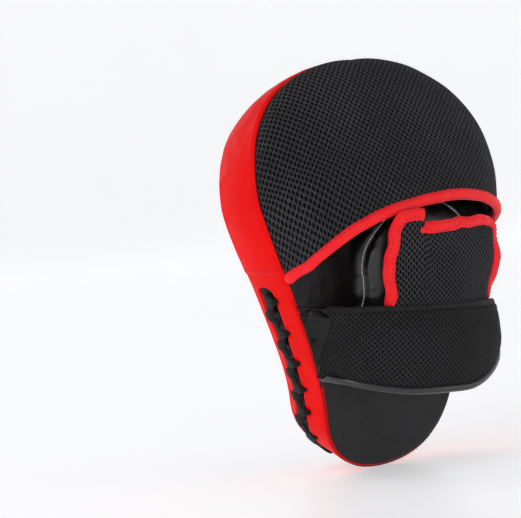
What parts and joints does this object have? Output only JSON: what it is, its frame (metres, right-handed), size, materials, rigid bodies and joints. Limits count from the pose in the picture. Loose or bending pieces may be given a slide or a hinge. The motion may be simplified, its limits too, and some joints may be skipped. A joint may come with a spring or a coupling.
{
  "type": "focus mitt",
  "caption": "Curved focus mitt for the right hand: laced foam pad with a ring target, mesh finger hood, palm ball, padded wrist strap and back-of-hand flap.",
  "frame": {"origin": "centre of the pad's back surface, where the middle of the palm rests", "axes": "+Z to the fingertips along the pad's length, -Y out of the striking face, +X to the thumb side"},
  "size_m": [0.1986, 0.1114, 0.2672],
  "materials": {
    "black_cover": "smooth satin synthetic leather",
    "gloss_cover": "glossy wrinkled synthetic leather",
    "red_cover": "satin synthetic leather",
    "red_binding": "woven binding tape, stitched",
    "air_mesh": "3-D air mesh with staggered holes",
    "print": "screen print",
    "foam": "closed-cell and open-cell foam",
    "lining": "smooth black lining",
    "lace_cord": "braided black lace",
    "thread": "white sewing thread",
    "hook_loop": "hook-and-loop tape"
  },
  "bodies": {
    "pad": {"striking_face": "black_cover", "target_ring": "print", "target_disc": "print", "strike_foam": "foam", "shock_core": "foam", "backing_foam": "foam", "back_panel": "black_cover", "gusset_upper": "red_cover", "gusset_little_finger_side": "red_cover", "gusset_rear_lip": "red_cover", "gusset_front_lip": "red_cover", "lace_tongue": "lining", "lace": "lace_cord", "finger_hood": "air_mesh", "hood_foam": "foam", "hood_lining": "lining", "hood_binding": "red_binding", "palm_ball_cover": "gloss_cover", "palm_ball_foam": "foam", "palm_ball_stitching": "thread", "strap_anchor": "black_cover", "loop_tab": "black_cover", "loop_tape": "hook_loop"},
    "strap": {"wrist_strap": "air_mesh", "strap_foam": "foam", "strap_backing": "black_cover", "strap_top_binding": "black_cover", "strap_bottom_piping": "black_cover", "hook_tape": "hook_loop"},
    "flap": {"hand_flap": "air_mesh", "flap_foam": "foam", "flap_lining": "lining", "flap_binding_thumb_side": "red_binding", "flap_binding_top": "red_binding"}
  },
  "joints": [
    {"name": "strap_opening", "type": "hinge", "parent": "pad", "child": "strap", "pos_m": [0.0574, 0.0036, -0.05], "axis": [0, 0, -1], "range_deg": [0, 85]},
    {"name": "flap_fold", "type": "hinge", "parent": "strap", "child": "flap", "pos_m": [-0.016, 0.04, -0.025], "axis": [-0.9926, -0.0992, -0.0695], "range_deg": [0, 40]}
  ]
}
